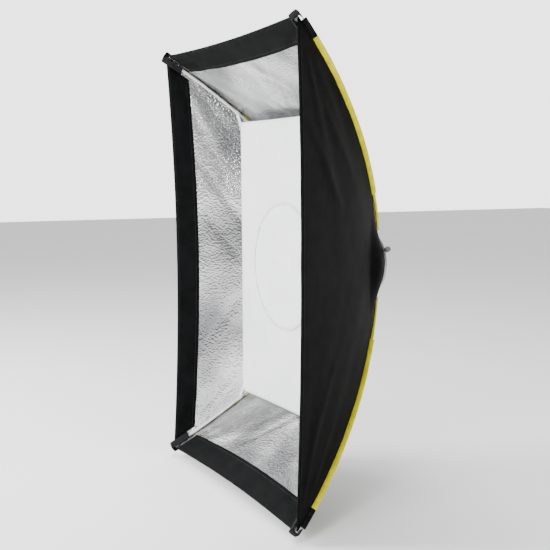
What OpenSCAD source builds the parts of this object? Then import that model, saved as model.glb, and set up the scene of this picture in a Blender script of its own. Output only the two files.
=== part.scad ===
// Rectangular softbox on a rotating speed ring.
// +Y points back along the optical axis, +Z up. The origin is on the axis, on the seat
// that meets the lamp. Lengths are in millimetres.

/* [Shell] */
// Width between the rod tips at the front
front_w = 600; // [500:10:640]
// Height between the rod tips at the front
front_h = 900; // [800:10:960]
// Depth of the fabric from the front plane to the collar
shell_depth = 337; // [334:1:344]
// How far each rod bows out from its chord
rib_bow = 32; // [26:1:38]
// How far the front edge of a side panel curves back at its middle
side_scallop = 13; // [6:1:16]
// How far the front edge of the top and bottom panels curves back
top_scallop = 6; // [3:1:10]
// How far the cloth of a side panel is drawn in at its middle
side_pull = 8; // [2:1:10]
// How far the cloth of the top and bottom panels is drawn in
top_pull = 5; // [2:1:8]

/* [Trim] */
// Depth of the black lip inside the front edge
lip_depth = 41; // [35:1:50]
// Width of the webbing pocket over each rod tip
pocket_w = 18; // [16:1:20]
// Height of the bound seam that stands along each corner
piping_h = 9; // [6:0.5:11]
// Depth from the front plane at which the rear flaps begin
flap_start = 283; // [278:1:290]

/* [Rods] */
// Diameter of each rod
rod_d = 5; // [4:0.5:5]
// Distance of the rod's axis inside the corner seam
rod_inset = 7.5; // [7.5:0.1:8]

/* [Inner baffle] */
// Width of the baffle
baffle_w = 403; // [380:1:410]
// Height of the baffle
baffle_h = 610; // [590:1:620]
// Depth of the baffle behind the front plane
baffle_at = 132; // [125:1:140]
// Diameter of the second layer at its centre
disc_d = 266; // [200:2:300]

/* [Speed ring] */
// Outer diameter of the ring
ring_d = 134; // [133:1:136]
// Diameter of the insert that turns in the ring
insert_d = 110; // [109:0.5:111]
// Inner diameter of the lamp's throat
throat_d = 86; // [80:1:88]
// Outer diameter of the bayonet's spigot
spigot_d = 95; // [93:1:96]
// Angle of the lock screw above the horizontal
lock_angle = 24; // [18:1:30]

/* [Hidden] */
$fn = 64;

// Where the fabric ends and the front plane stands, along Y
collar_y = -10;
front_y = collar_y - shell_depth;
collar_r = ring_d / 2 + 2;
cloth = 1.2;
thin_cloth = 0.9;
corner_gap = 2.2;

// The corner rib: one arc in the plane through the axis and a front corner.
// "depth" is measured back from the front plane, "rho" out from the axis.
corner_r = norm([front_w, front_h]) / 2;
side_k = front_w / 2 / corner_r;
top_k = front_h / 2 / corner_r;
chord = norm([shell_depth, corner_r - collar_r]);
rib_r = (pow(chord, 2) / 4 + pow(rib_bow, 2)) / (2 * rib_bow);
chord_a = atan2(corner_r - collar_r, shell_depth);
rib_c = [
    shell_depth / 2 - (rib_r - rib_bow) * sin(chord_a),
    (corner_r + collar_r) / 2 - (rib_r - rib_bow) * cos(chord_a)
];
function rib_rho(depth) = rib_c[1] + sqrt(pow(rib_r, 2) - pow(depth - rib_c[0], 2));
// Angle on the rib's arc at a given depth, for the seam or for a curve inset from it
function rib_a(depth, inset = 0) = acos((depth - rib_c[0]) / (rib_r - inset));
tip_a = rib_a(0);

// Rods end in straight ferrules that sit in the ring's sockets.
rod_r = rib_r - rod_inset;
rod_end_rho = ring_d / 2 + 13;
rod_end_a = asin((rod_end_rho - rib_c[1]) / rod_r);
ferrule_r = 3.6;
pin_r = 2.9;
pin_l = 24;
fit = 0.05;

// Speed ring, along Y
ring_back = -1.5;
ring_front = -33;
ring_lip = 2;
plate_t = 3;
neck_r = insert_d / 2 - 2;
play = 0.15;
spigot_l = 9;
lug_r = spigot_d / 2 + 3.5;
screw_circle_r = 61.2;

// Lock screw, along its own radial axis
lock_y = -6;
lock_r = 2.5;
pad_l = 3;
knob_at = 77;
knob_l = 9;

// How far the section has turned from a rectangle into the collar's circle
round_start = flap_start + 2;
function roundness(depth) = pow(max(0, (depth - round_start) / (shell_depth - round_start)), 1.3);

// A point on a panel. ka and kb are the rib's direction across and along the panel, u runs from
// corner to corner, and the panel's own frame has +X outward.
function on_shell(ka, kb, u, depth, pull) =
    let (
        rho = rib_rho(depth),
        a = rho * ka,
        b = rho * kb * u,
        w = roundness(depth),
        slack = pull * (1 - u * u) * 4 * depth * (shell_depth - depth) / pow(shell_depth, 2),
        r = (1 - w) * norm([a, b]) + w * rho - slack,
        turn = atan2(b, a)
    ) [r * cos(turn), depth + front_y, r * sin(turn)];
function outward(ka, kb, u, depth, pull) =
    let (
        du = on_shell(ka, kb, u + 0.01, depth, pull) - on_shell(ka, kb, u - 0.01, depth, pull),
        dt = on_shell(ka, kb, u, depth + 0.5, pull) - on_shell(ka, kb, u, depth - 0.5, pull),
        n = cross(dt, du)
    ) n / norm(n);
function lifted(ka, kb, u, depth, pull, off) =
    on_shell(ka, kb, u, depth, pull) + outward(ka, kb, u, depth, pull) * off;
// u at a distance in from the corner
function inside(kb, depth, gap) = 1 - gap / (rib_rho(depth) * kb);

// How far a flap stands off the strips below it, as a share of its greatest lift
function flap_puff(depth) = sin(180 * max(0, min(1, (depth - flap_start - 1) / (shell_depth - flap_start - 1))));

// A closed sheet from two grids of points, rows along u
module sheet(top, bottom) {
    nu = len(top) - 1;
    nv = len(top[0]) - 1;
    n = (nu + 1) * (nv + 1);
    points = concat([for (row = top) each row], [for (row = bottom) each row]);
    function id(i, j) = i * (nv + 1) + j;
    over = [for (i = [0:nu - 1], j = [0:nv - 1])
        each [[id(i, j), id(i + 1, j), id(i + 1, j + 1)], [id(i, j), id(i + 1, j + 1), id(i, j + 1)]]];
    under = [for (f = over) [f[2] + n, f[1] + n, f[0] + n]];
    edge = concat(
        [for (j = [0:nv - 1]) [id(0, j), id(0, j + 1)]],
        [for (i = [0:nu - 1]) [id(i, nv), id(i + 1, nv)]],
        [for (j = [nv:-1:1]) [id(nu, j), id(nu, j - 1)]],
        [for (i = [nu:-1:1]) [id(i, 0), id(i - 1, 0)]]
    );
    wall = [for (e = edge) each [[e[0], e[1], e[1] + n], [e[0], e[1] + n, e[0] + n]]];
    polyhedron(points, concat(over, under, wall), convexity = 6);
}

// Part of a panel: from depth d0 to d1, each with the front scallop added where asked
module shell_piece(ka, kb, pull, scallop, d0, d1, gap, off, thick, nu, nv, keep_scallop = false, lift = 0) {
    function depth_at(s, v) = let (f = scallop * (1 - s * s))
        d0 + f + (keep_scallop ? d1 - d0 : d1 - d0 - f) * v;
    function grid(o) = [for (i = [0:nu]) [for (j = [0:nv])
        let (
            s = 2 * i / nu - 1,
            d = depth_at(s, j / nv),
            u = s * inside(kb, d, gap)
        ) lifted(ka, kb, u, d, pull, o + lift * flap_puff(d))]];
    sheet(grid(off), grid(off - thick));
}

module on_side(sign) { mirror([sign < 0 ? 1 : 0, 0, 0]) children(); }
module on_top(sign) { mirror([0, 0, sign < 0 ? 1 : 0]) rotate([0, -90, 0]) children(); }

// Local frame of one corner rib: X along depth, Y out along the diagonal, Z across it
module rib_plane(sx, sz) {
    multmatrix([
        [0, sx * side_k, sz * top_k, 0],
        [1, 0, 0, front_y + rib_c[0]],
        [0, sz * top_k, -sx * side_k, 0]
    ]) translate([0, rib_c[1], 0]) children();
}
// Local frame at an angle on an arc: X outward from the rib, Y back towards the front corner
module at_rib(a, r) { rotate([0, 0, a]) translate([r, 0, 0]) children(); }
module arc_between(a0, a1) { rotate([0, 0, a0]) rotate_extrude(angle = a1 - a0, $fn = 128) children(); }

module along_y(y0) { translate([0, y0, 0]) rotate([-90, 0, 0]) children(); }
module ring_part(r_in, r_out, y0, y1) {
    along_y(y0) difference() {
        cylinder(r = r_out, h = y1 - y0, $fn = 96);
        translate([0, 0, -1]) cylinder(r = r_in, h = y1 - y0 + 2, $fn = 96);
    }
}

// ---- speed ring ----
module bayonet_insert() {
    color("silver") difference() {
        union() {
            along_y(ring_front + play) cylinder(d = insert_d, h = ring_back - ring_lip - ring_front - 2 * play);
            along_y(-5) cylinder(r = neck_r, h = 5);
            along_y(-2) cylinder(d = spigot_d, h = 2 + spigot_l - 2.5);
        }
        along_y(ring_front - 1) cylinder(d = throat_d, h = 60);
        // relief between the spigot and the seat, so that the lugs don't stand over the seat
        ring_part(spigot_d / 2, lug_r + 0.3, -1.5, 1);
        for (a = [0, 120, 240]) along_y(spigot_l - 8) rotate(a) translate([45.25, 0, 0]) cylinder(r = 1.1, h = 9);
    }
}
module lug_plate() {
    color("gainsboro") difference() {
        union() {
            along_y(spigot_l - 2.5) cylinder(d = spigot_d, h = 2.5);
            along_y(spigot_l - 2.5) for (a = [60, 180, 300]) rotate(a) intersection() {
                cylinder(r = lug_r, h = 2.5);
                translate([lug_r - 6, -11, 0]) cube([12, 22, 2.5]);
            }
        }
        along_y(spigot_l - 4) cylinder(d = throat_d, h = 6);
        for (a = [0, 120, 240]) along_y(spigot_l - 4) rotate(a) translate([45.25, 0, 0]) cylinder(r = 1.2, h = 6);
    }
}
module lug_screws() {
    color("dimgray") for (a = [0, 120, 240]) along_y(spigot_l - 7) rotate(a) translate([45.25, 0, 0]) {
        cylinder(r = 1, h = 7.1, $fn = 24);
        translate([0, 0, 7.02]) cylinder(r = 2, h = 0.9, $fn = 24);
    }
}
module socket_axis() { at_rib(rod_end_a, rod_r) rotate([90, 0, 0]) children(); }
module speed_ring() {
    color("slategray") difference() {
        union() {
            along_y(ring_front) cylinder(d = ring_d, h = ring_back - ring_front, $fn = 96);
            for (sx = [-1, 1], sz = [-1, 1]) rib_plane(sx, sz) socket_axis()
                translate([0, 0, 3]) cylinder(r = 5.6, h = pin_l - 6);
            rotate([0, -lock_angle, 0]) translate([58, lock_y, 0]) rotate([0, 90, 0]) cylinder(r = 3.7, h = 16);
            along_y(collar_y + 0.2) cylinder(r = collar_r + 2.5, h = 2, $fn = 96);
        }
        along_y(ring_front - 1) cylinder(d = insert_d + 2 * fit, h = ring_back - ring_lip - ring_front + 1);
        along_y(-5) cylinder(r = neck_r + 0.6, h = 6);
        for (sx = [-1, 1], sz = [-1, 1]) rib_plane(sx, sz) socket_axis()
            translate([0, 0, -2]) cylinder(r = pin_r + fit, h = pin_l + 2.5);
        rotate([0, -lock_angle, 0]) translate([50, lock_y, 0]) rotate([0, 90, 0]) cylinder(r = lock_r + fit, h = 30);
        for (a = [0:90:270]) along_y(ring_front - 1) rotate(a) translate([screw_circle_r, 0, 0])
            cylinder(r = 1.6, h = 11);
    }
}
module retaining_ring() {
    color("gray") difference() {
        ring_part(throat_d / 2 + 6, ring_d / 2 - 1, ring_front - plate_t, ring_front - 0.02);
        for (a = [0:90:270]) along_y(ring_front - plate_t - 1) rotate(a) translate([screw_circle_r, 0, 0])
            cylinder(r = 1.9, h = plate_t + 2);
    }
}
module retaining_screws() {
    color("dimgray") for (a = [0:90:270]) along_y(ring_front - plate_t - 2) rotate(a)
        translate([screw_circle_r, 0, 0]) difference() {
            union() {
                cylinder(r = 3, h = 1.95, $fn = 32);
                cylinder(r = 1.5, h = plate_t + 10, $fn = 32);
            }
            translate([0, 0, -1]) cylinder(r = 1.3, h = 2, $fn = 6);
        }
}

// ---- lock screw ----
module lock_axis(r) { rotate([0, -lock_angle, 0]) translate([r, lock_y, 0]) rotate([0, 90, 0]) children(); }
module lock_pad() { color("ivory") lock_axis(insert_d / 2 + 0.1) cylinder(r = lock_r, h = pad_l); }
module lock_shank() {
    color("silver") lock_axis(insert_d / 2 + 0.15 + pad_l) cylinder(r = lock_r, h = knob_at + 6 - insert_d / 2 - pad_l);
}
module lock_knob() {
    color("dimgray") lock_axis(knob_at) difference() {
        union() {
            cylinder(r = 5.4, h = knob_l);
            for (a = [0:30:330]) rotate(a) translate([5.2, 0, 1]) cylinder(r = 0.9, h = knob_l - 2, $fn = 20);
        }
        translate([0, 0, -1]) cylinder(r = lock_r + 0.02, h = 7.2);
    }
}

// ---- rods ----
module rod(sx, sz) {
    color("whitesmoke") rib_plane(sx, sz)
        arc_between(rod_end_a + 0.62, tip_a - 0.05) translate([rod_r, 0]) circle(d = rod_d, $fn = 32);
}
module rod_cap(sx, sz) {
    color("gray") rib_plane(sx, sz) at_rib(tip_a, rod_r) rotate([-90, 0, 0]) difference() {
        translate([0, 0, -11]) cylinder(r = rod_d / 2 + 1, h = 14);
        translate([0, 0, -12]) cylinder(r = rod_d / 2 + 0.08, h = 11.5);
    }
}
module rod_ferrules() {
    color("gold") for (sx = [-1, 1], sz = [-1, 1]) rib_plane(sx, sz) socket_axis() difference() {
        union() {
            translate([0, 0, -18]) cylinder(r = ferrule_r, h = 20.5);
            cylinder(r = pin_r, h = pin_l);
        }
        translate([0, 0, -19]) cylinder(r = rod_d / 2 + 0.2, h = 14);
    }
}

// ---- shell ----
module panel_side(sign) {
    color("#1a1a1a") on_side(sign)
        shell_piece(side_k, top_k, side_pull, side_scallop, 0, shell_depth, corner_gap, 0, cloth, 12, 14);
}
module panel_end(sign) {
    color("#1a1a1a") on_top(sign)
        shell_piece(top_k, side_k, top_pull, top_scallop, 0, flap_start - 0.8, corner_gap, 0, cloth, 10, 12);
}
module lip_side(sign) {
    color("#111111") on_side(sign)
        shell_piece(side_k, top_k, side_pull, side_scallop, 2, 2 + lip_depth, 20, -cloth - 0.4, thin_cloth, 10, 3, true);
}
module lip_end(sign) {
    color("#111111") on_top(sign)
        shell_piece(top_k, side_k, top_pull, top_scallop, 2, 2 + lip_depth, 20, -cloth - 0.4, thin_cloth, 8, 3, true);
}
module hem_side(sign) {
    color("#222222") on_side(sign)
        shell_piece(side_k, top_k, side_pull, side_scallop, -3, -0.3, 18.5, 0.4, 2.2, 10, 1, true);
}
module hem_end(sign) {
    color("#222222") on_top(sign)
        shell_piece(top_k, side_k, top_pull, top_scallop, -3, -0.3, 18.5, 0.4, 2.2, 8, 1, true);
}

// ---- corners ----
module pocket(sx, sz) {
    inner = -rod_inset - rod_d / 2 - 2.1;
    color("#151515") rib_plane(sx, sz) at_rib(tip_a, rib_r)
        linear_extrude(pocket_w, center = true) polygon([
            [inner - 1.1, 6.2], [inner - 1.1, -lip_depth - 4], [inner, -lip_depth - 4], [inner, 5],
            [1.9, 5], [1.9, -11], [3, -11], [3, 6.2]
        ]);
}
module binding_arc(d0, d1, side = 0) {
    arc_between(rib_a(d1), rib_a(d0)) translate([rib_r + 0.5, side - 1.2]) square([piping_h, 2.4]);
}
module piping(sx, sz) { color("gold") rib_plane(sx, sz) binding_arc(lip_depth + 1, flap_start - 1); }
module front_bindings() {
    color("#161616") for (sx = [-1, 1], sz = [-1, 1]) rib_plane(sx, sz) binding_arc(10, lip_depth + 0.6);
}

// ---- rear flaps ----
module flap(sign) {
    color("#1a1a1a") on_top(sign)
        shell_piece(top_k, side_k, 0, 0, flap_start + 0.8, shell_depth - 4, corner_gap, 2.2, cloth, 12, 7, true, 2);
}
module flap_piping(sign) {
    color("gold") for (sx = [-1, 1]) rib_plane(sx, sign)
        translate([0, 0, -sx * sign * 4.2]) flap_binding();
}
module flap_binding() {
    arc_between(rib_a(shell_depth - 5), rib_a(flap_start + 3)) translate([rib_r + 4.7, -1]) square([4.2, 2]);
}
// A strip along a flap's side edge: side is -1 or 1, width and gap measured in from the corner
module edge_strip(side, d0, d1, gap, wide, top, thick, lift) {
    function grid(o) = [for (i = [0:2]) [for (j = [0:5])
        let (
            d = d0 + (d1 - d0) * j / 5,
            u = side * inside(side_k, d, gap + wide / 2 - side * wide * (i / 2 - 0.5))
        ) lifted(top_k, side_k, u, d, 0, o + lift * flap_puff(d))]];
    sheet(grid(top), grid(top - thick));
}
// Hook tape inside each flap's side edges
module flap_hooks(sign) {
    color("#333333") on_top(sign) for (side = [-1, 1])
        edge_strip(side, flap_start + 6, shell_depth - 8, 12, 10, 0.8, 0.7, 2);
}
// Loop-faced underlaps of the side panels, beneath the flaps' edges
module closure_strips() {
    color("#2a2a2a") for (sz = [-1, 1], side = [-1, 1]) on_top(sz)
        edge_strip(side, flap_start + 3, shell_depth - 0.5, 2.3, 22, -0.3, 0.9, 0);
}

// ---- baffle ----
module baffle() {
    color("white") translate([-baffle_w / 2, front_y + baffle_at, -baffle_h / 2]) cube([baffle_w, 1, baffle_h]);
}
module baffle_disc() {
    color("whitesmoke") along_y(front_y + baffle_at - 0.9) cylinder(d = disc_d, h = 0.8);
}
module baffle_tab(sx, sz) {
    at = baffle_at + 0.5;
    a = rib_a(at, rod_inset);
    low = norm([baffle_w, baffle_h]) / 2 + 0.6;
    color("#eeeeee") rib_plane(sx, sz) difference() {
        union() {
            translate([at - 0.5 - rib_c[0], low - rib_c[1], -6])
                cube([1, rod_r * sin(a) + rib_c[1] - low, 12]);
            at_rib(a, rod_r) rotate([90, 0, 0]) cylinder(r = 3.5, h = 12, center = true);
        }
        at_rib(a, rod_r) rotate([90, 0, 0]) cylinder(r = rod_d / 2 + 0.3, h = 20, center = true);
    }
}

bayonet_insert();
lug_plate();
lug_screws();
speed_ring();
retaining_ring();
retaining_screws();
rod(-1, 1);  // rod_top_left
rod(1, 1);  // rod_top_right
rod(-1, -1);  // rod_bottom_left
rod(1, -1);  // rod_bottom_right
rod_cap(-1, 1);  // rod_cap_top_left
rod_cap(1, 1);  // rod_cap_top_right
rod_cap(-1, -1);  // rod_cap_bottom_left
rod_cap(1, -1);  // rod_cap_bottom_right
rod_ferrules();
panel_end(1);  // panel_top
panel_end(-1);  // panel_bottom
panel_side(-1);  // panel_left
panel_side(1);  // panel_right
lip_end(1);  // lip_top
lip_end(-1);  // lip_bottom
lip_side(-1);  // lip_left
lip_side(1);  // lip_right
hem_end(1);  // hem_top
hem_end(-1);  // hem_bottom
hem_side(-1);  // hem_left
hem_side(1);  // hem_right
pocket(-1, 1);  // pocket_top_left
pocket(1, 1);  // pocket_top_right
pocket(-1, -1);  // pocket_bottom_left
pocket(1, -1);  // pocket_bottom_right
piping(-1, 1);  // piping_top_left
piping(1, 1);  // piping_top_right
piping(-1, -1);  // piping_bottom_left
piping(1, -1);  // piping_bottom_right
front_bindings();
closure_strips();
baffle();
baffle_disc();
baffle_tab(-1, 1);  // baffle_tab_top_left
baffle_tab(1, 1);  // baffle_tab_top_right
baffle_tab(-1, -1);  // baffle_tab_bottom_left
baffle_tab(1, -1);  // baffle_tab_bottom_right
lock_pad();
lock_shank();
lock_knob();
flap(1);  // flap_top
flap_piping(1);  // flap_top_piping
flap_hooks(1);  // flap_top_hooks
flap(-1);  // flap_bottom
flap_piping(-1);  // flap_bottom_piping
flap_hooks(-1);  // flap_bottom_hooks
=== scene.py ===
from math import acos, atan2, cos, exp, hypot, pi, sin, sqrt

import bpy
from mathutils import Matrix, Vector, noise


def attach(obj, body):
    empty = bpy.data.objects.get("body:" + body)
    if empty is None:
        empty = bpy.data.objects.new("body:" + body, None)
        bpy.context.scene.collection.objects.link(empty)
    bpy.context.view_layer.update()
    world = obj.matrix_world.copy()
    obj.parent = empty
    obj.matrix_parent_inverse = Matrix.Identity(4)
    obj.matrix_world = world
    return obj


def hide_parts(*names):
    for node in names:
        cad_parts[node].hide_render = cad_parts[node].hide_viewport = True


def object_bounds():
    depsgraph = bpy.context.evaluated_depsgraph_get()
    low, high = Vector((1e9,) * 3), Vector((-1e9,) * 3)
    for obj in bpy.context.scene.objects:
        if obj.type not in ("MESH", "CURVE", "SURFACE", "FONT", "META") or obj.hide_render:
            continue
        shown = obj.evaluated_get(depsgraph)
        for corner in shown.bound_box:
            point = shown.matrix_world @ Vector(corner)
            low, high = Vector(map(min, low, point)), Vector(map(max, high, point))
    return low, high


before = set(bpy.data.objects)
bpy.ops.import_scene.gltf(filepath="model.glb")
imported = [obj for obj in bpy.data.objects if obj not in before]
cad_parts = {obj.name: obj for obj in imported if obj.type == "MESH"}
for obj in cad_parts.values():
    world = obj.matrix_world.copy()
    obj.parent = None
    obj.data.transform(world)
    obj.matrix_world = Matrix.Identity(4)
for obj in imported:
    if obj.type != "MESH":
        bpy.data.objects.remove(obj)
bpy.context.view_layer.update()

# Sizes in millimetres, as the CAD source has them
MM = 0.001
FRONT_W, FRONT_H = 600, 900
SHELL_DEPTH = 337
COLLAR_Y = -10
COLLAR_R = 69
RIB_BOW = 32
CLOTH = 1.2
FLAP_START = 283
LIP_DEPTH = 41
POCKET_W = 18
ROD_INSET = 7.5
BAFFLE_AT = 132
CORNER_GAP = 0.9
SIDE_PULL, TOP_PULL = 8, 5
SIDE_SCALLOP, TOP_SCALLOP = 13, 6
FRONT_Y = COLLAR_Y - SHELL_DEPTH

CORNER_R = hypot(FRONT_W, FRONT_H) / 2
SIDE_K = FRONT_W / 2 / CORNER_R
TOP_K = FRONT_H / 2 / CORNER_R
CHORD = hypot(SHELL_DEPTH, CORNER_R - COLLAR_R)
RIB_R = (CHORD ** 2 / 4 + RIB_BOW ** 2) / (2 * RIB_BOW)
CHORD_A = atan2(CORNER_R - COLLAR_R, SHELL_DEPTH)
RIB_C = (SHELL_DEPTH / 2 - (RIB_R - RIB_BOW) * sin(CHORD_A),
         (CORNER_R + COLLAR_R) / 2 - (RIB_R - RIB_BOW) * cos(CHORD_A))
TIP_A = acos(-RIB_C[0] / RIB_R)
ROUND_START = FLAP_START + 2

# Each panel: rib direction across it, along it, how its middle is drawn in, its front scallop
SIDES = {
    "left": (SIDE_K, TOP_K, SIDE_PULL, SIDE_SCALLOP, lambda p: Vector((-p[0], p[1], p[2]))),
    "right": (SIDE_K, TOP_K, SIDE_PULL, SIDE_SCALLOP, lambda p: Vector(p)),
    "top": (TOP_K, SIDE_K, TOP_PULL, TOP_SCALLOP, lambda p: Vector((p[2], p[1], p[0]))),
    "bottom": (TOP_K, SIDE_K, TOP_PULL, TOP_SCALLOP, lambda p: Vector((p[2], p[1], -p[0]))),
}
CORNERS = {"top_left": (-1, 1), "top_right": (1, 1), "bottom_left": (-1, -1), "bottom_right": (1, -1)}


# ---- camera ----
def add_camera():
    """The photograph's viewpoint, solved from the box's own edges."""
    right = Vector((0.45422, 0.89088, -0.00451))
    up = Vector((-0.14065, 0.07671, 0.98708))
    data = bpy.data.cameras.new("camera")
    data.sensor_width = 36
    data.lens = 59.94
    data.shift_x = 0.0174
    data.shift_y = 0.08827
    data.clip_end = 50
    camera = bpy.data.objects.new("camera", data)
    back = right.cross(up)
    turn = Matrix((right, up, back)).transposed()
    camera.matrix_world = Matrix.Translation((1.6789, -1.1121, 0.1892)) @ turn.to_4x4()
    bpy.context.collection.objects.link(camera)
    bpy.context.scene.camera = camera


add_camera()


# ---- the shell's shape ----
def rib_rho(depth):
    return RIB_C[1] + sqrt(RIB_R ** 2 - (depth - RIB_C[0]) ** 2)


def rib_angle(depth, inset=0.0):
    return acos((depth - RIB_C[0]) / (RIB_R - inset))


def on_shell(side, u, depth):
    """A point of a panel in its own frame, +X outward; u runs from corner to corner."""
    ka, kb, pull, _, _ = SIDES[side]
    rho = rib_rho(depth)
    a, b = rho * ka, rho * kb * u
    w = max(0.0, (depth - ROUND_START) / (SHELL_DEPTH - ROUND_START)) ** 1.3
    slack = pull * (1 - u * u) * 4 * depth * (SHELL_DEPTH - depth) / SHELL_DEPTH ** 2
    r = (1 - w) * hypot(a, b) + w * rho - slack
    turn = atan2(b, a)
    return Vector((r * cos(turn), depth + FRONT_Y, r * sin(turn)))


def outward(side, u, depth):
    du = on_shell(side, u + 0.01, depth) - on_shell(side, u - 0.01, depth)
    dt = on_shell(side, u, depth + 0.5) - on_shell(side, u, depth - 0.5)
    return dt.cross(du).normalized()


def lifted(side, u, depth, off):
    """A point off the panel's surface, in the row frame, in millimetres."""
    return SIDES[side][4](on_shell(side, u, depth) + outward(side, u, depth) * off)


def corner_folds(side, u, depth, strength):
    """Short pulls that spread from the two front corners, and slack waves between them."""
    kb = SIDES[side][1]
    half = rib_rho(depth) * kb
    lift = 0.0
    for end, phase in ((1, 0.4), (-1, 2.1)):
        across = half * (1 - end * u)
        along = depth * 1.25
        r = hypot(across, along)
        spread = atan2(along, across)
        near = exp(-r / 170) * min(1, max(0, (r - 25) / 60)) * min(1, across / 40)
        lift += strength * near * (sin(12 * spread + phase) + 0.4 * sin(21 * spread + 2 * phase))
    place = Vector((u * half * 0.012, depth * 0.012, 7.3 * kb + (1 if side in ("right", "top") else 4)))
    lift += 0.9 * noise.noise(place) * min(1, half * (1 - abs(u)) / 30)
    return lift


def fold_line(u, depth, half, line):
    """One soft crease: ends in (across, depth) millimetres, its width and its height."""
    (x0, y0), (x1, y1), wide, high = line
    x, y = u * half, depth
    dx, dy = x1 - x0, y1 - y0
    k = ((x - x0) * dx + (y - y0) * dy) / (dx * dx + dy * dy)
    if not 0 < k < 1:
        return 0.0
    off = ((x - x0) * dy - (y - y0) * dx) / hypot(dx, dy)
    return high * exp(-(off / wide) ** 2) * sin(pi * k) ** 0.6


# ---- mesh helpers ----
def new_piece(name, verts, faces, mats, face_mats=None, uvs=None, smooth=True):
    mesh = bpy.data.meshes.new(name)
    mesh.from_pydata([v * MM for v in verts], [], faces)
    for mat in mats:
        mesh.materials.append(mat)
    if face_mats:
        mesh.polygons.foreach_set("material_index", face_mats)
    if uvs:
        layer = mesh.uv_layers.new(name="along")
        for loop in mesh.loops:
            layer.data[loop.index].uv = uvs[loop.vertex_index]
    mesh.polygons.foreach_set("use_smooth", [smooth] * len(mesh.polygons))
    mesh.validate()
    piece = bpy.data.objects.new(name, mesh)
    bpy.context.collection.objects.link(piece)
    return piece


def sheet_mesh(name, upper, lower, nu, nv, mats, uv_size=(1, 1)):
    """A closed sheet between two surfaces of (s, t) in 0..1. mats: outer, inner, edge."""
    top = [upper(i / nu, j / nv) for i in range(nu + 1) for j in range(nv + 1)]
    bottom = [lower(i / nu, j / nv) for i in range(nu + 1) for j in range(nv + 1)]
    n = len(top)
    uv = [(i / nu * uv_size[0], j / nv * uv_size[1]) for i in range(nu + 1) for j in range(nv + 1)]

    def at(i, j):
        return i * (nv + 1) + j

    faces, kinds = [], []
    for i in range(nu):
        for j in range(nv):
            quad = (at(i, j), at(i + 1, j), at(i + 1, j + 1), at(i, j + 1))
            faces += [quad, tuple(k + n for k in reversed(quad))]
            kinds += [0, 1]
    rim = [at(i, 0) for i in range(nu)] + [at(nu, j) for j in range(nv)]
    rim += [at(i, nv) for i in range(nu, 0, -1)] + [at(0, j) for j in range(nv, 0, -1)]
    for a, b in zip(rim, rim[1:] + rim[:1]):
        faces.append((b, a, a + n, b + n))
        kinds.append(len(mats) - 1)
    kinds = [min(k, len(mats) - 1) for k in kinds]
    piece = new_piece(name, top + bottom, faces, mats, kinds, uv + uv)
    return outward_normals(piece)


def outward_normals(piece):
    import bmesh
    bm = bmesh.new()
    bm.from_mesh(piece.data)
    bmesh.ops.recalc_face_normals(bm, faces=bm.faces)
    bm.to_mesh(piece.data)
    bm.free()
    return piece


def sweep(name, frames, section, mats, closed=False):
    """A closed section carried along frames of (centre, across, up)."""
    verts, uvs = [], []
    length = 0.0
    for k, (centre, across, up) in enumerate(frames):
        if k:
            length += (centre - frames[k - 1][0]).length
        for m, (x, y) in enumerate(section):
            verts.append(centre + across * x + up * y)
            uvs.append((length * MM, m / len(section)))
    n, rings = len(section), len(frames)
    faces = []
    for k in range(rings if closed else rings - 1):
        for m in range(n):
            a, b = k * n + m, k * n + (m + 1) % n
            c, d = (k + 1) % rings * n + (m + 1) % n, (k + 1) % rings * n + m
            faces.append((a, b, c, d))
    if not closed:
        faces += [tuple(reversed(range(n))), tuple(range((rings - 1) * n, rings * n))]
    return outward_normals(new_piece(name, verts, faces, mats, uvs=uvs))


def stitches(name, points, normals, mat, pitch=4.0, long=2.8, thick=0.55):
    """Thread stitches along a line: one small six-sided bead for each."""
    verts, faces = [], []
    travel = 0.0
    wanted = pitch / 2
    for k in range(len(points) - 1):
        a, b = points[k], points[k + 1]
        step = (b - a).length
        while wanted < travel + step:
            middle = a.lerp(b, (wanted - travel) / step)
            along = (b - a).normalized()
            up = normals[k]
            across = along.cross(up).normalized()
            base = len(verts)
            for s, wide in ((-0.5, 0.5), (-0.2, 1), (0.2, 1), (0.5, 0.5)):
                ring = middle + along * s * long
                verts += [ring + across * wide * thick * 0.5 * x + up * (thick * 0.45 * wide * y)
                          for x, y in ((-1, 0), (-0.5, 0.9), (0.5, 0.9), (1, 0), (0, -0.4))]
            for r in range(3):
                for m in range(5):
                    p, q = base + r * 5 + m, base + r * 5 + (m + 1) % 5
                    faces.append((p, q, q + 5, p + 5))
            faces += [tuple(base + m for m in reversed(range(5))), tuple(base + 15 + m for m in range(5))]
            wanted += pitch
        travel += step
    return new_piece(name, verts, faces, [mat])


# ---- materials ----
def node_material(name, color, rough, metal=0.0):
    mat = bpy.data.materials.new(name)
    mat.use_nodes = True
    tree = mat.node_tree
    shader = tree.nodes["Principled BSDF"]
    shader.inputs["Base Color"].default_value = (*color, 1)
    shader.inputs["Roughness"].default_value = rough
    shader.inputs["Metallic"].default_value = metal
    return mat, tree, shader


def add(tree, kind, **values):
    made = tree.nodes.new(kind)
    for key, value in values.items():
        if hasattr(made, key):
            setattr(made, key, value)
        else:
            made.inputs[key.replace("_", " ").title()].default_value = value
    return made


def coords(tree, source="Object", scale=(1, 1, 1)):
    tex = tree.nodes.new("ShaderNodeTexCoord")
    mapping = tree.nodes.new("ShaderNodeMapping")
    mapping.inputs["Scale"].default_value = scale
    tree.links.new(tex.outputs[source], mapping.inputs["Vector"])
    return mapping.outputs["Vector"]


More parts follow.
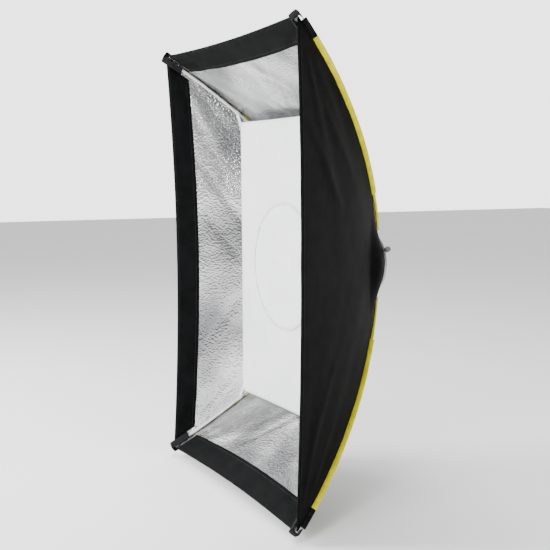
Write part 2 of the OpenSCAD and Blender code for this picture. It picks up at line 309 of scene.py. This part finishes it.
def ramp_color(tree, shader, factor, low, high, at=(0.35, 0.65), socket="Base Color"):
    ramp = tree.nodes.new("ShaderNodeValToRGB")
    ramp.color_ramp.elements[0].position = at[0]
    ramp.color_ramp.elements[1].position = at[1]
    ramp.color_ramp.elements[0].color = (*low, 1)
    ramp.color_ramp.elements[1].color = (*high, 1)
    tree.links.new(factor, ramp.inputs["Fac"])
    tree.links.new(ramp.outputs["Color"], shader.inputs[socket])


def add_bump(tree, shader, height, strength, distance, below=None):
    bump = tree.nodes.new("ShaderNodeBump")
    bump.inputs["Strength"].default_value = strength
    bump.inputs["Distance"].default_value = distance
    tree.links.new(height, bump.inputs["Height"])
    if below:
        tree.links.new(below, bump.inputs["Normal"])
    tree.links.new(bump.outputs["Normal"], shader.inputs["Normal"])
    return bump.outputs["Normal"]


def weave_height(tree, vector, threads):
    """Warp and weft as two crossed waves."""
    waves = []
    for direction in ("X", "Y"):
        wave = add(tree, "ShaderNodeTexWave", bands_direction=direction, scale=threads, distortion=0.6)
        tree.links.new(vector, wave.inputs["Vector"])
        waves.append(wave.outputs["Fac"])
    both = tree.nodes.new("ShaderNodeMath")
    both.operation = "MULTIPLY"
    tree.links.new(waves[0], both.inputs[0])
    tree.links.new(waves[1], both.inputs[1])
    return both.outputs["Value"]


def cloth_material(name, low, high, rough, threads, crumple=0.5, sheen=0.0, cell=0.03, gloss=0.3):
    mat, tree, shader = node_material(name, high, rough)
    shader.inputs["Sheen Weight"].default_value = sheen
    shader.inputs["Sheen Roughness"].default_value = 0.4
    shader.inputs["Specular IOR Level"].default_value = gloss
    patches = add(tree, "ShaderNodeTexNoise", scale=1 / cell, detail=5.0, roughness=0.55)
    tree.links.new(coords(tree), patches.inputs["Vector"])
    ramp_color(tree, shader, patches.outputs["Fac"], low, high)
    normal = add_bump(tree, shader, patches.outputs["Fac"], crumple, 0.003)
    add_bump(tree, shader, weave_height(tree, coords(tree, "UV"), threads), 0.35, 0.0003, normal)
    return mat


def silver_material():
    """Metallised lining: bright, with a pebbled emboss, a net of fine creases, and painted shade and painted
    dark reflections in the broad sagging hollows.
    """
    mat, tree, shader = node_material("silver_lining", (0.8, 0.81, 0.82), 0.22, 0.97)
    place = coords(tree)
    pebble = add(tree, "ShaderNodeTexVoronoi", scale=210.0)
    tree.links.new(place, pebble.inputs["Vector"])
    crease = add(tree, "ShaderNodeTexNoise", scale=13.0, detail=5.0, roughness=0.55, distortion=0.3)
    tree.links.new(place, crease.inputs["Vector"])
    sag = add(tree, "ShaderNodeTexNoise", scale=5.0, detail=2.0, roughness=0.45)
    tree.links.new(place, sag.inputs["Vector"])
    # painted shade and painted reflection: the lining's colour darkens from 0.86 to 0.24 in the low places
    # of the broad sag, where darker reflections fall
    ramp_color(tree, shader, sag.outputs["Fac"], (0.24, 0.243, 0.25), (0.86, 0.865, 0.87))
    broad = add_bump(tree, shader, sag.outputs["Fac"], 0.8, 0.02)
    normal = add_bump(tree, shader, crease.outputs["Fac"], 0.4, 0.003, broad)
    add_bump(tree, shader, pebble.outputs["Distance"], 0.6, 0.0012, normal)
    return mat


def ribbed_tape(name, low, high, rough, pitch, sheen=0.1, gloss=0.3):
    """Grosgrain or elastic: ribs across the tape, its length along the UV's first axis."""
    mat, tree, shader = node_material(name, high, rough)
    shader.inputs["Sheen Weight"].default_value = sheen
    shader.inputs["Specular IOR Level"].default_value = gloss
    wear = add(tree, "ShaderNodeTexNoise", scale=60.0, detail=4.0)
    tree.links.new(coords(tree), wear.inputs["Vector"])
    ramp_color(tree, shader, wear.outputs["Fac"], low, high)
    rib = add(tree, "ShaderNodeTexWave", bands_direction="X", scale=0.31 / pitch, distortion=0.3)
    tree.links.new(coords(tree, "UV"), rib.inputs["Vector"])
    normal = add_bump(tree, shader, rib.outputs["Fac"], 0.5, 0.0004)
    add_bump(tree, shader, wear.outputs["Fac"], 0.2, 0.001, normal)
    return mat


def cast_material(name, low, high, rough, metal, grain, bump=0.15):
    """Metal or plastic with a fine grain and slight wear."""
    mat, tree, shader = node_material(name, high, rough, metal)
    coarse = add(tree, "ShaderNodeTexNoise", scale=45.0, detail=5.0)
    fine = add(tree, "ShaderNodeTexNoise", scale=grain, detail=3.0)
    place = coords(tree)
    tree.links.new(place, coarse.inputs["Vector"])
    tree.links.new(place, fine.inputs["Vector"])
    ramp_color(tree, shader, coarse.outputs["Fac"], low, high)
    spread = add(tree, "ShaderNodeMapRange")
    spread.inputs["To Min"].default_value = rough - 0.07
    spread.inputs["To Max"].default_value = rough + 0.1
    tree.links.new(coarse.outputs["Fac"], spread.inputs["Value"])
    tree.links.new(spread.outputs["Result"], shader.inputs["Roughness"])
    add_bump(tree, shader, fine.outputs["Fac"], bump, 0.0006)
    return mat


BLACK = cloth_material("black_nylon", (0.0022, 0.0023, 0.0024), (0.0045, 0.0047, 0.0048),
                       0.7, 260, 0.3, gloss=0.05)
LIP = cloth_material("lip_cloth", (0.0018, 0.002, 0.0022), (0.004, 0.0044, 0.0047),
                     0.8, 260, 0.25, gloss=0.06)
WEBBING = ribbed_tape("black_webbing", (0.0035, 0.0035, 0.0038), (0.010, 0.010, 0.011),
                      0.75, 0.0018, 0.0, 0.08)
HOOK = cloth_material("hook_tape", (0.005, 0.005, 0.005), (0.014, 0.014, 0.0145),
                      0.85, 420, 0.9, 0.1, 0.002, 0.1)
SILVER = silver_material()
YELLOW = ribbed_tape("yellow_grosgrain", (0.78, 0.70, 0.001), (1.0, 0.90, 0.002), 0.7, 0.0011, 0.0, 0.1)
ELASTIC = ribbed_tape("white_elastic", (0.66, 0.67, 0.68), (0.85, 0.86, 0.87), 0.75, 0.0014)
DIFFUSER = cloth_material("white_diffuser", (0.80, 0.815, 0.83), (0.88, 0.89, 0.90),
                          0.75, 400, 0.12, 0.05, 0.12)
DARK_THREAD = cast_material("dark_thread", (0.012, 0.012, 0.013), (0.03, 0.03, 0.032), 0.7, 0, 900)
PALE_THREAD = cast_material("pale_thread", (0.6, 0.6, 0.6), (0.8, 0.8, 0.8), 0.6, 0, 900)
GOLD_THREAD = cast_material("yellow_thread", (0.45, 0.38, 0.02), (0.6, 0.5, 0.03), 0.6, 0, 900)
ALLOY = cast_material("ring_casting", (0.36, 0.37, 0.385), (0.5, 0.51, 0.525), 0.36, 0.95, 700)
STEEL = cast_material("turned_steel", (0.42, 0.43, 0.44), (0.56, 0.57, 0.58), 0.26, 1.0, 500, 0.06)
OXIDE = cast_material("black_oxide", (0.02, 0.02, 0.022), (0.05, 0.05, 0.055), 0.4, 0.7, 500)
FIBRE = cast_material("glass_fibre", (0.72, 0.72, 0.69), (0.84, 0.84, 0.81), 0.42, 0, 1100)
PLASTIC = cast_material("grey_moulding", (0.20, 0.205, 0.21), (0.27, 0.275, 0.28), 0.45, 0, 1300, 0.3)
NYLON = cast_material("white_nylon_pad", (0.74, 0.74, 0.7), (0.82, 0.82, 0.78), 0.45, 0, 900)

CAD_LOOKS = {
    "bayonet_insert": ALLOY, "speed_ring": ALLOY, "retaining_ring": ALLOY, "lug_plate": STEEL,
    "lug_screws": OXIDE, "retaining_screws": OXIDE, "rod_ferrules": STEEL,
    "lock_pad": NYLON, "lock_shank": STEEL, "lock_knob": PLASTIC,
}
for corner in CORNERS:
    CAD_LOOKS["rod_" + corner] = FIBRE
    CAD_LOOKS["rod_cap_" + corner] = PLASTIC


def finish_cad_nodes():
    for name, look in CAD_LOOKS.items():
        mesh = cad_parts[name].data
        mesh.materials.clear()
        mesh.materials.append(look)


def belongs(piece, body, slot, *nodes):
    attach(piece, body)
    if nodes:
        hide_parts(*nodes)
    return piece


# ---- panels ----
CREASES = {
    "top": [((-150, 60), (60, 190), 5, 1.6), ((-40, 30), (150, 150), 6, 1.4),
            ((90, 40), (-60, 210), 7, 1.2)],
    "bottom": [((60, 170), (-90, 60), 5, 1.8), ((-110, 90), (40, 200), 7, 1.2)],
    "left": [((250, 40), (40, 170), 9, 1.6), ((-260, 30), (-60, 150), 8, 1.3),
             ((120, 60), (-90, 190), 10, 1.2)],
    "right": [((290, 25), (120, 150), 10, 2.2), ((330, 60), (180, 190), 8, 1.6),
              ((-330, 30), (-150, 130), 9, 1.8)],
}


def panel_height(side, u, depth):
    half = rib_rho(depth) * SIDES[side][1]
    lift = corner_folds(side, u, depth, 1.5)
    for line in CREASES[side]:
        lift += fold_line(u, depth, half, line)
    seam = min(1, half * (1 - abs(u)) / 30)
    ends = min(1, max(0, (depth - 2) / 10)) * min(1, max(0, (SHELL_DEPTH - depth) / 25))
    return lift * seam * ends


def side_depth(side, s, t, d0, d1):
    scallop = SIDES[side][3] * (1 - (2 * s - 1) ** 2)
    return d0 + scallop + (d1 - d0 - scallop) * t


def make_panel(side, nu, nv):
    d1 = SHELL_DEPTH - 0.3 if side in ("left", "right") else FLAP_START - 0.5
    kb = SIDES[side][1]

    def surface(off, extra):
        def at(s, t):
            depth = side_depth(side, s, t, 0, d1)
            u = (2 * s - 1) * (1 - CORNER_GAP / (rib_rho(depth) * kb))
            crumple = 0.0
            if extra:
                crumple = 0.45 * noise.noise(Vector((s * 23 * kb, t * 19, 3.1)))
            return lifted(side, u, depth, off + panel_height(side, u, depth) + crumple)
        return at

    piece = sheet_mesh("panel_cloth_" + side, surface(0, False), surface(-CLOTH, True), nu, nv,
                       [BLACK, SILVER, BLACK], (0.9 * kb, 0.5))
    belongs(piece, "softbox", "black_cloth", "panel_" + side)


def edge_path(side, gap, d_off, off, count=90):
    """Points and normals along a panel's front edge, d_off behind it."""
    points, normals = [], []
    _, kb, _, scallop, place = SIDES[side]
    for k in range(count + 1):
        s = 2 * k / count - 1
        depth = max(-4, scallop * (1 - s * s) + d_off)
        u = s * (1 - gap / (rib_rho(depth) * kb))
        points.append(lifted(side, u, depth, off + panel_height(side, u, depth)))
        normals.append(place(outward(side, u, depth)))
    return points, normals


def make_lip(side, nu):
    kb = SIDES[side][1]

    def surface(off):
        def at(s, t):
            x = 2 * s - 1
            depth = 0.5 + SIDES[side][3] * (1 - x * x) + LIP_DEPTH * t
            u = x * (1 - 18 / (rib_rho(depth) * kb))
            sag = 1.2 * sin(pi * t) * (0.6 + 0.4 * sin(9 * x + 2 * kb))
            return lifted(side, u, depth, off - sag + panel_height(side, u, depth))
        return at

    piece = sheet_mesh("lip_cloth_" + side, surface(-CLOTH - 0.9), surface(-CLOTH - 1.8), nu, 10,
                       [LIP], (0.9 * kb, 0.05))
    belongs(piece, "softbox", "black_cloth", "lip_" + side)
    for label, d_off, off in (("fold", 6, 0.25), ("lip", LIP_DEPTH - 5, -CLOTH - 2.2)):
        points, normals = edge_path(side, 20, d_off, off)
        if label == "lip":
            normals = [-n for n in normals]
        line = stitches("stitch_%s_%s" % (label, side), points, normals, DARK_THREAD)
        belongs(line, "softbox", "black_webbing")


def make_hem(side):
    """The folded, bound front edge of a panel."""
    points, normals = edge_path(side, 12, -0.6, -0.7, 120)
    frames = []
    for k, point in enumerate(points):
        along = (points[min(k + 1, 120)] - points[max(k - 1, 0)]).normalized()
        frames.append((point, along.cross(normals[k]).normalized(), normals[k]))
    section = [(2.0 * cos(2 * pi * m / 12), 1.35 * sin(2 * pi * m / 12)) for m in range(12)]
    piece = sweep("hem_roll_" + side, frames, section, [WEBBING])
    belongs(piece, "softbox", "black_webbing", "hem_" + side)


# ---- corners ----
def rib_point(corner, normal, along, across=0.0):
    """A point near a corner rib: out from the seam, forward of the tip, and across its plane."""
    sx, sz = CORNERS[corner]
    a = TIP_A + along / RIB_R
    depth = RIB_C[0] + (RIB_R + normal) * cos(a)
    rho = RIB_C[1] + (RIB_R + normal) * sin(a)
    return Vector((sx * SIDE_K * rho + sz * TOP_K * across, FRONT_Y + depth,
                   sz * TOP_K * rho - sx * SIDE_K * across))


def rib_axes(corner, along):
    """Outward normal, forward tangent and the direction across, at a place on the rib."""
    o = rib_point(corner, 0, along)
    out = (rib_point(corner, 1, along) - o).normalized()
    ahead = (rib_point(corner, 0, along + 1) - rib_point(corner, 0, along - 1)).normalized()
    across = (rib_point(corner, 0, along, 1) - o).normalized()
    return out, ahead, across


def along_of(depth):
    return (rib_angle(depth) - TIP_A) * RIB_R


def binding(name, corner, d0, d1, low, high, half, side, mat, thread):
    a0, a1 = along_of(d1), along_of(d0)
    count = max(8, int((a1 - a0) / 4))
    section = [(low, -half), (high - 1.2, -half), (high - 0.35, -half * 0.7), (high, 0),
               (high - 0.35, half * 0.7), (high - 1.2, half), (low, half)]
    frames = []
    for k in range(count + 1):
        along = a0 + (a1 - a0) * k / count
        out, _, across = rib_axes(corner, along)
        wave = 0.35 * sin(along / 17 + CORNERS[corner][0]) + 0.2 * sin(along / 7.3)
        frames.append((rib_point(corner, 0.15 * sin(along / 29), along, side + wave), out, across))
    piece = sweep(name, frames, section, [mat])
    for face in (-1, 1):
        points = [f[0] + f[1] * max(low + 1.2, 2.2) + f[2] * face * (half + 0.05) for f in frames]
        line = stitches("%s_stitch_%s" % (name, "a" if face > 0 else "b"), points,
                        [f[2] * face for f in frames], thread, 3.6, 2.4, 0.5)
        line.parent = piece
    return piece


def make_pocket(corner):
    """A webbing strip that runs up the rod, over its tip and back outside."""
    inner = -ROD_INSET - 4.7
    path = [(inner, -LIP_DEPTH - 4 + 3 * k) for k in range(18)]
    path += [(inner + 2.5 * (1 - cos(pi / 8 * k)), 2.4 + 2.9 * sin(pi / 8 * k)) for k in range(5)]
    path += [(inner + 4 + 1.5 * k, 5.6) for k in range(6)]
    path += [(2.5 - 1.6 * cos(pi / 8 * k), 4.0 + 1.6 * cos(pi / 2 - pi / 8 * k) * 0.9) for k in range(1, 5)]
    path += [(2.45, 2.5 - 2.2 * k) for k in range(7)]

    def surface(off):
        def at(s, t):
            k = t * (len(path) - 1)
            i = min(int(k), len(path) - 2)
            f = k - i
            n = path[i][0] * (1 - f) + path[i + 1][0] * f
            l = path[i][1] * (1 - f) + path[i + 1][1] * f
            dn, dl = path[i + 1][0] - path[i][0], path[i + 1][1] - path[i][1]
            size = hypot(dn, dl)
            x = (2 * s - 1)
            crown = 0.9 * (1 - x * x)
            n += -dl / size * (off + crown) * 1.0
            l += dn / size * (off + crown)
            return rib_point(corner, n, l, x * POCKET_W / 2)
        return at

    piece = sheet_mesh("pocket_web_" + corner, surface(0.0), surface(1.1), 10, 76, [WEBBING], (0.021, 0.1))
    # the UV's first axis runs along the strip, for the weave's ribs
    for item in piece.data.uv_layers[0].data:
        item.uv = (item.uv[1], item.uv[0])
    belongs(piece, "softbox", "black_webbing", "pocket_" + corner)
    for side in (-1, 1):
        spots = [rib_point(corner, inner - 1.35, -LIP_DEPTH + 2 + 2 * k, side * (POCKET_W / 2 - 2.2))
                 for k in range(24)]
        down = [-rib_axes(corner, -LIP_DEPTH + 2 + 2 * k)[0] for k in range(24)]
        line = stitches("pocket_stitch_%s_%s" % (corner, "a" if side > 0 else "b"), spots, down, DARK_THREAD)
        line.parent = piece


def make_corner(corner):
    piece = binding("piping_tape_" + corner, corner, LIP_DEPTH + 1, FLAP_START + 1, -1.4, 9.5, 1.15, 0,
                    YELLOW, GOLD_THREAD)
    belongs(piece, "softbox", "yellow_binding", "piping_" + corner)
    black = binding("front_tape_" + corner, corner, 10, LIP_DEPTH + 0.6, -1.4, 9.5, 1.15, 0,
                    WEBBING, DARK_THREAD)
    belongs(black, "softbox", "black_webbing", "front_bindings")


# ---- rear flaps ----
def flap_puff(depth):
    return sin(pi * max(0, min(1, (depth - FLAP_START - 1) / (SHELL_DEPTH - FLAP_START - 1))))


def make_flap(side):
    body = "flap_" + side
    kb = SIDES[side][1]
    d0, d1 = FLAP_START + 0.3, SHELL_DEPTH - 4

    def surface(off):
        def at(s, t):
            depth = d0 + (d1 - d0) * t
            u = (2 * s - 1) * (1 - 1.6 / (rib_rho(depth) * kb))
            ripple = 0.5 * noise.noise(Vector((s * 9, t * 5, 2.2))) * sin(pi * t)
            return lifted(side, u, depth, off + 2 * flap_puff(depth) + ripple)
        return at

    piece = sheet_mesh("flap_cloth_" + side, surface(2.2), surface(1.0), 40, 20,
                       [BLACK, SILVER, BLACK], (0.2, 0.11))
    belongs(piece, body, "black_cloth", "flap_" + side)
    sign = 1 if side == "top" else -1
    for name in ("left", "right"):
        corner = "%s_%s" % (side, name)
        sx = -1 if name == "left" else 1
        tape = binding("flap_tape_" + corner, corner, FLAP_START + 2, SHELL_DEPTH - 5, 1.0, 8.9, 1.0,
                       -sx * sign * 4.2, YELLOW, GOLD_THREAD)
        belongs(tape, body, "yellow_binding", "flap_%s_piping" % side)
        hooks = edge_tape("flap_hook_" + corner, side, sx, FLAP_START + 6, SHELL_DEPTH - 8,
                          12, 10, 0.8, 0.7, 2)
        belongs(hooks, body, "black_tape", "flap_%s_hooks" % side)


def edge_tape(name, side, sx, d0, d1, gap, wide, top, thick, puff):
    kb = SIDES[side][1]

    def surface(off):
        def at(s, t):
            depth = d0 + (d1 - d0) * t
            u = sx * (1 - (gap + wide * s) / (rib_rho(depth) * kb))
            return lifted(side, u, depth, off + puff * flap_puff(depth))
        return at

    return sheet_mesh(name, surface(top), surface(top - thick), 6, 20, [HOOK], (0.02, 0.06))


def make_closures():
    for side in ("top", "bottom"):
        for sx, label in ((-1, "left"), (1, "right")):
            first = (side, label) == ("top", "right")
            name = "closure_tape" if first else "closure_tape_%s_%s" % (side, label)
            piece = edge_tape(name, side, sx, FLAP_START + 3, SHELL_DEPTH - 0.5, 1.2, 23, -0.3, 0.9, 0)
            belongs(piece, "softbox", "black_tape", "closure_strips")


# ---- baffle ----
BAFFLE_W, BAFFLE_H, DISC_R = 403, 610, 133
BAFFLE_CREASES = [((-190, 290), (-60, 130), 3.0, 1.8), ((-185, 270), (-120, 60), 3.5, 1.6),
                  ((-60, 30), (150, 45), 2.0, 1.0), ((-50, -95), (130, -85), 2.0, 1.0),
                  ((-100, -210), (140, -190), 2.5, 1.0), ((190, 290), (70, 150), 3.0, 1.6),
                  ((-190, -290), (-70, -170), 3.0, 1.6), ((190, -290), (60, -160), 3.0, 1.7)]


def baffle_front(x, z):
    """How far the cloth stands back from its plane at a place, in millimetres."""
    lift = 0.0
    for line in BAFFLE_CREASES:
        lift += fold_line(x, z, 1.0, line)
    lift += 0.8 * noise.noise(Vector((x * 0.011, z * 0.008, 5.0)))
    return lift


def make_baffle():
    y = FRONT_Y + BAFFLE_AT

    def surface(off):
        def at(s, t):
            x, z = (2 * s - 1), (2 * t - 1)
            # the elastic at the corners pulls the edges in a little between them
            px = x * (BAFFLE_W / 2 - 3 * (1 - z * z))
            pz = z * (BAFFLE_H / 2 - 2 * (1 - x * x))
            return Vector((px, y + off + baffle_front(px, pz), pz))
        return at

    piece = sheet_mesh("baffle_cloth", surface(0), surface(0.7), 70, 100, [DIFFUSER], (0.4, 0.6))
    belongs(piece, "softbox", "white_diffuser", "baffle")
    rim = []
    for k in range(160):
        a = 2 * pi * k / 160
        x, z = cos(a), sin(a)
        big = max(abs(x), abs(z))
        x, z = x / big, z / big
        px, pz = x * (BAFFLE_W / 2 - 4 - 3 * (1 - z * z)), z * (BAFFLE_H / 2 - 4 - 2 * (1 - x * x))
        rim.append(Vector((px, y - 0.4 + baffle_front(px, pz), pz)))
    hem = stitches("baffle_hem", rim + rim[:1], [Vector((0, -1, 0))] * 161, PALE_THREAD)
    belongs(hem, "softbox", "white_diffuser")

    def disc_surface(off):
        def at(s, t):
            r, a = DISC_R * (0.004 + 0.996 * t), 2 * pi * s
            px, pz = r * cos(a), r * sin(a)
            return Vector((px, y + off + baffle_front(px, pz), pz))
        return at

    disc = disc_mesh("baffle_second_layer", disc_surface(-1.0), disc_surface(-0.3), 96, 16)
    belongs(disc, "softbox", "white_diffuser", "baffle_disc")
    frames = []
    for k in range(96):
        a = 2 * pi * k / 96
        out = Vector((cos(a), 0, sin(a)))
        px, pz = (DISC_R - 2) * cos(a), (DISC_R - 2) * sin(a)
        frames.append((Vector((px, y - 1.3 + baffle_front(px, pz), pz)), out, Vector((0, -1, 0))))
    tape = sweep("disc_tape", frames,
                 [(-3, -0.2), (-3, 0.35), (-2.4, 0.6), (2.4, 0.6), (3, 0.35), (3, -0.2)],
                 [ELASTIC], closed=True)
    belongs(tape, "softbox", "white_diffuser")
    for radius, label in ((DISC_R - 4.2, "inner"), (DISC_R + 0.2, "outer")):
        line = [f[0] + f[1] * (radius - DISC_R + 2) + f[2] * 0.6 for f in frames]
        ring = stitches("disc_stitch_" + label, line + line[:1], [Vector((0, -1, 0))] * 97,
                        PALE_THREAD, 3.4, 2.4, 0.45)
        ring.parent = tape


def disc_mesh(name, upper, lower, around, rings):
    """A round sheet: two fans joined at the rim."""
    verts, faces = [], []
    for surface in (upper, lower):
        verts.append(surface(0, 0))
        verts += [surface(k / around, (j + 1) / rings) for j in range(rings) for k in range(around)]
    n = 1 + rings * around
    for base in (0, n):
        for k in range(around):
            k2 = (k + 1) % around
            faces.append((base, base + 1 + k, base + 1 + k2))
            for j in range(rings - 1):
                a, b = base + 1 + j * around, base + 1 + (j + 1) * around
                faces.append((a + k, b + k, b + k2, a + k2))
    edge = 1 + (rings - 1) * around
    for k in range(around):
        k2 = (k + 1) % around
        faces.append((edge + k, edge + k2, n + edge + k2, n + edge + k))
    return outward_normals(new_piece(name, verts, faces, [DIFFUSER]))


def make_elastic(corner):
    """A flat elastic from the baffle's corner to a sleeve round the rod."""
    sx, sz = CORNERS[corner]
    out = Vector((sx * SIDE_K, 0, sz * TOP_K))
    across = Vector((sz * TOP_K, 0, -sx * SIDE_K))
    y = FRONT_Y + BAFFLE_AT + 0.5
    angle = rib_angle(BAFFLE_AT + 0.5, ROD_INSET)
    rod_rho = RIB_C[1] + (RIB_R - ROD_INSET) * sin(angle)
    start = hypot(BAFFLE_W, BAFFLE_H) / 2 - 9
    end = rod_rho - 4.0
    frames = []
    for k in range(13):
        rho = start + (end - start) * k / 12
        narrow = 1 - 0.12 * sin(pi * k / 12)
        frames.append((out * rho + Vector((0, y, 0)), across * narrow, Vector((0, -1, 0))))
    section = [(-6, 0.6), (6, 0.6), (6.2, 1.1), (6, 1.6), (-6, 1.6), (-6.2, 1.1)]
    piece = sweep("elastic_" + corner, frames, section, [ELASTIC])
    belongs(piece, "softbox", "white_elastic", "baffle_tab_" + corner)
    centre = out * rod_rho + Vector((0, y, 0))
    tangent = Vector((out.x * cos(angle), -sin(angle), out.z * cos(angle))).normalized()
    side = across
    up = side.cross(tangent).normalized()
    rings = []
    for k in range(24):
        a = 2 * pi * k / 24
        radial = side * cos(a) + up * sin(a)
        rings.append((centre + radial * 3.4, tangent, radial))
    sleeve = sweep("sleeve_" + corner, rings,
                   [(-5.5, -0.5), (5.5, -0.5), (5.8, 0), (5.5, 0.5), (-5.5, 0.5), (-5.8, 0)],
                   [ELASTIC], closed=True)
    sleeve.parent = piece


# ---- build ----
finish_cad_nodes()
for side, nu, nv in (("left", 96, 64), ("right", 96, 64), ("top", 72, 56), ("bottom", 72, 56)):
    make_panel(side, nu, nv)
    make_lip(side, 90)
    make_hem(side)
for corner in CORNERS:
    make_pocket(corner)
    make_corner(corner)
    make_elastic(corner)
for side in ("top", "bottom"):
    make_flap(side)
make_closures()
make_baffle()


# ---- studio ----
def add_light(name, place, aim, size, power, color=(1, 1, 1)):
    data = bpy.data.lights.new(name, "AREA")
    data.shape = "RECTANGLE"
    data.size, data.size_y = size
    data.energy = power
    data.color = color
    light = bpy.data.objects.new(name, data)
    light.location = place
    light.rotation_euler = (Vector(aim) - Vector(place)).to_track_quat("-Z", "Y").to_euler()
    bpy.context.collection.objects.link(light)


def add_studio():
    world = bpy.data.worlds.new("studio")
    world.use_nodes = True
    tree = world.node_tree
    sky = tree.nodes["Background"]
    # a white backdrop behind the box, and a dimmer room in front of it
    towards = tree.nodes.new("ShaderNodeVectorMath")
    towards.operation = "DOT_PRODUCT"
    towards.inputs[1].default_value = (-0.74, 0.42, -0.52)
    tree.links.new(tree.nodes.new("ShaderNodeTexCoord").outputs["Generated"], towards.inputs[0])
    room = tree.nodes.new("ShaderNodeMapRange")
    room.interpolation_type = "SMOOTHSTEP"
    room.inputs["From Min"].default_value = -0.35
    room.inputs["From Max"].default_value = 0.55
    room.inputs["To Min"].default_value = 0.3
    room.inputs["To Max"].default_value = 3.2
    tree.links.new(towards.outputs["Value"], room.inputs["Value"])
    tree.links.new(room.outputs["Result"], sky.inputs["Strength"])
    sky.inputs["Color"].default_value = (1, 1, 1, 1)
    bpy.context.scene.world = world
    add_light("key", (-1.5, -2.8, 1.0), (0, -0.2, -0.1), (1.0, 1.4), 170)
    add_light("strip", (1.3, -2.2, 1.3), (-0.2, -0.25, 0.2), (0.12, 0.7), 14)
    add_light("top", (-0.6, -0.6, 2.8), (0, -0.25, 0), (1.6, 1.6), 70)
    add_light("floor_wash", (1.4, -2.4, 2.6), (1.6, -2.4, -0.5), (2.0, 2.0), 110)
    mat, tree, shader = node_material("floor_paper", (0.93, 0.93, 0.93), 0.8)
    grain = add(tree, "ShaderNodeTexNoise", scale=300.0)
    tree.links.new(coords(tree), grain.inputs["Vector"])
    add_bump(tree, shader, grain.outputs["Fac"], 0.05, 0.0005)
    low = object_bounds()[0][2] - 0.012
    mesh = bpy.data.meshes.new("floor")
    far = 12
    spots = [(-far, -far, low), (far, -far, low), (far, far, low), (-far, far, low)]
    mesh.from_pydata(spots, [], [(0, 1, 2, 3)])
    mesh.materials.append(mat)
    floor = bpy.data.objects.new("floor", mesh)
    bpy.context.collection.objects.link(floor)


add_studio()
